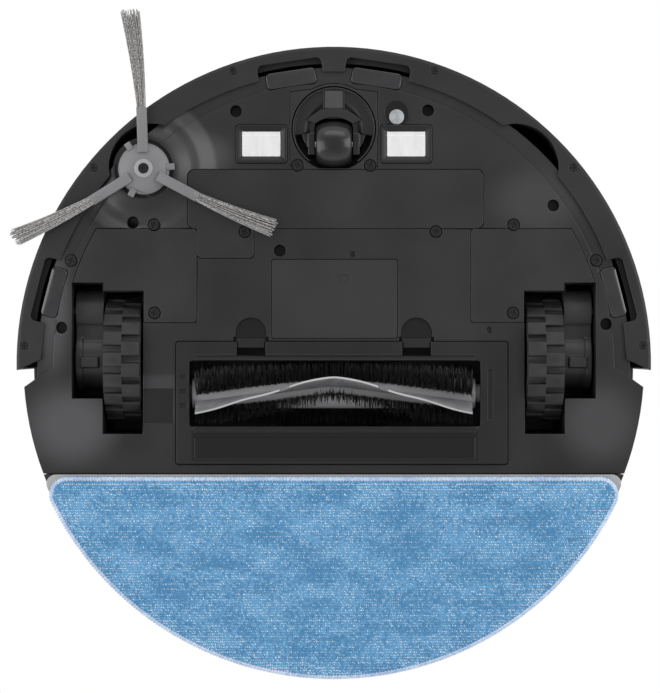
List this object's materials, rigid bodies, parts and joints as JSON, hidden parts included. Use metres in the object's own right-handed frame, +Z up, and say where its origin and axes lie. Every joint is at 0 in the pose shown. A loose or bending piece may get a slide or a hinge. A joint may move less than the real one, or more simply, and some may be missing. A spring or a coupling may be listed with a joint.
{
  "type": "robot vacuum",
  "caption": "Low round robot vacuum with a sprung bumper, castor, drive wheels, side and main brushes, lidar turret and a D-shaped microfibre mop pad.",
  "frame": {"origin": "centre of the bounding box on the floor plane, under the body", "axes": "+Z up, -Y towards the front bumper, +Y towards the mop; seen from below with the front at the top, +X is to the right"},
  "size_m": [0.3551, 0.3685, 0.0965],
  "materials": {
    "housing_plastic": "fine spark texture, satin",
    "bumper_plastic": "satin moulded",
    "black_plastic": "satin moulded",
    "window_plastic": "polished, infrared dark",
    "screw_steel": "blackened",
    "bright_steel": "ground",
    "castor_plastic": "moulded, worn satin",
    "contact_plate": "nickel plated",
    "lens_plastic": "frosted",
    "label_film": "matt film",
    "arm_plastic": "moulded",
    "motor_metal": "drawn can",
    "tyre_rubber": "moulded rubber",
    "brush_plastic": "moulded",
    "side_bristle": "nylon filament",
    "blade_silicone": "soft silicone",
    "brush_bristle": "nylon filament",
    "tank_plastic": "satin moulded",
    "plug_rubber": "soft rubber",
    "plate_plastic": "moulded",
    "mop_cloth": "microfibre terry",
    "bin_plastic": "tinted, clear",
    "filter_media": "pleated paper",
    "impeller_plastic": "moulded",
    "board_laminate": "solder mask",
    "battery_wrap": "shrink wrap",
    "button_plastic": "satin moulded"
  },
  "bodies": {
    "root": {"base_housing": "housing_plastic", "left_wheel_well": "housing_plastic", "right_wheel_well": "housing_plastic", "brush_housing": "housing_plastic", "top_housing": "housing_plastic", "left_wheel_cover": "housing_plastic", "right_wheel_cover": "housing_plastic", "battery_cover": "housing_plastic", "castor_socket": "housing_plastic", "brush_guard": "housing_plastic", "bumper_switches": "black_plastic", "air_duct": "black_plastic", "left_contact_bezel": "black_plastic", "right_contact_bezel": "black_plastic", "brush_bearing": "black_plastic", "brush_gearbox": "black_plastic", "fan_housing": "black_plastic", "speaker": "black_plastic", "lidar_cage": "black_plastic", "cliff_windows": "window_plastic", "housing_screws": "screw_steel", "left_arm_pin": "bright_steel", "right_arm_pin": "bright_steel", "suspension_springs": "bright_steel", "left_charge_contact": "contact_plate", "right_charge_contact": "contact_plate", "floor_sensor_lens": "lens_plastic", "rating_label": "label_film", "side_brush_motor": "motor_metal", "dust_bin": "bin_plastic", "dust_filter": "filter_media", "main_board": "board_laminate", "battery_pack": "battery_wrap"},
    "bumper": {"bumper": "bumper_plastic", "bumper_window": "window_plastic", "bumper_screws": "screw_steel"},
    "castor_fork": {"castor_fork": "black_plastic", "castor_axle": "bright_steel"},
    "castor_wheel": {"castor_wheel": "castor_plastic"},
    "left_arm": {"left_arm": "arm_plastic", "left_drive_motor": "motor_metal"},
    "left_wheel": {"left_wheel_hub": "arm_plastic", "left_tyre": "tyre_rubber"},
    "right_arm": {"right_arm": "arm_plastic", "right_drive_motor": "motor_metal"},
    "right_wheel": {"right_wheel_hub": "arm_plastic", "right_tyre": "tyre_rubber"},
    "side_brush": {"side_brush_hub": "brush_plastic", "side_brush_bristles": "side_bristle", "side_brush_screw": "screw_steel"},
    "main_brush": {"brush_core": "brush_plastic", "brush_blades": "blade_silicone", "brush_bristles": "brush_bristle"},
    "left_latch": {"left_latch": "black_plastic"},
    "right_latch": {"right_latch": "black_plastic"},
    "tank": {"water_tank": "tank_plastic", "tank_floor": "tank_plastic", "tank_cover": "tank_plastic", "tank_plug": "plug_rubber", "mop_plate": "plate_plastic", "mop_pad": "mop_cloth"},
    "fan_impeller": {"fan_impeller": "impeller_plastic"},
    "lid": {"lid": "housing_plastic"},
    "lidar_rotor": {"lidar_rotor": "window_plastic"},
    "power_button": {"power_button": "button_plastic"},
    "home_button": {"home_button": "button_plastic"}
  },
  "joints": [
    {"name": "bumper_press", "type": "slide", "parent": "root", "child": "bumper", "axis": [0, 1, 0], "range_m": [0, 0.0035], "stiffness_N_per_m": 600, "springref_m": -0.005},
    {"name": "castor_swivel", "type": "hinge", "parent": "root", "child": "castor_fork", "pos_m": [0, -0.1222, 0.02], "axis": [0, 0, 1], "continuous": true},
    {"name": "castor_roll", "type": "hinge", "parent": "castor_fork", "child": "castor_wheel", "pos_m": [0, -0.1136, 0.0132], "axis": [1, 0, 0], "continuous": true},
    {"name": "left_suspension", "type": "hinge", "parent": "root", "child": "left_arm", "pos_m": [-0.136, -0.0212, 0.03], "axis": [1, 0, 0], "range_deg": [0, 12], "stiffness_Nm_per_rad": 3, "springref_deg": -20.05},
    {"name": "left_wheel_spin", "type": "hinge", "parent": "left_arm", "child": "left_wheel", "pos_m": [-0.1176, 0.0063, 0.035], "axis": [1, 0, 0], "continuous": true},
    {"name": "right_suspension", "type": "hinge", "parent": "root", "child": "right_arm", "pos_m": [0.136, -0.0212, 0.03], "axis": [1, 0, 0], "range_deg": [0, 12], "stiffness_Nm_per_rad": 3, "springref_deg": -20.05},
    {"name": "right_wheel_spin", "type": "hinge", "parent": "right_arm", "child": "right_wheel", "pos_m": [0.1176, 0.0063, 0.035], "axis": [1, 0, 0], "continuous": true},
    {"name": "side_brush_spin", "type": "hinge", "parent": "root", "child": "side_brush", "pos_m": [-0.10548, -0.09967, 0.006], "axis": [0, 0, 1], "continuous": true},
    {"name": "main_brush_spin", "type": "hinge", "parent": "root", "child": "main_brush", "pos_m": [0, 0.0252, 0.0192], "axis": [1, 0, 0], "continuous": true},
    {"name": "left_latch_slide", "type": "slide", "parent": "root", "child": "left_latch", "axis": [0, 1, 0], "range_m": [0, 0.0025], "stiffness_N_per_m": 400, "springref_m": -0.002},
    {"name": "right_latch_slide", "type": "slide", "parent": "root", "child": "right_latch", "axis": [0, 1, 0], "range_m": [0, 0.0025], "stiffness_N_per_m": 400, "springref_m": -0.002},
    {"name": "tank_slide", "type": "slide", "parent": "root", "child": "tank", "axis": [0, 1, 0], "range_m": [0, 0.12]},
    {"name": "fan_spin", "type": "hinge", "parent": "root", "child": "fan_impeller", "pos_m": [0, -0.0342, 0.03], "axis": [0, 0, 1], "continuous": true},
    {"name": "lid_open", "type": "hinge", "parent": "root", "child": "lid", "pos_m": [0, 0.0693, 0.0798], "axis": [1, 0, 0], "range_deg": [0, 80]},
    {"name": "lidar_spin", "type": "hinge", "parent": "root", "child": "lidar_rotor", "pos_m": [0, 0.0128, 0.09], "axis": [0, 0, 1], "continuous": true},
    {"name": "power_button_press", "type": "slide", "parent": "root", "child": "power_button", "axis": [0, 0, -1], "range_m": [0, 0.0012], "stiffness_N_per_m": 400, "springref_m": -0.001},
    {"name": "home_button_press", "type": "slide", "parent": "root", "child": "home_button", "axis": [0, 0, -1], "range_m": [0, 0.0012], "stiffness_N_per_m": 400, "springref_m": -0.001}
  ]
}
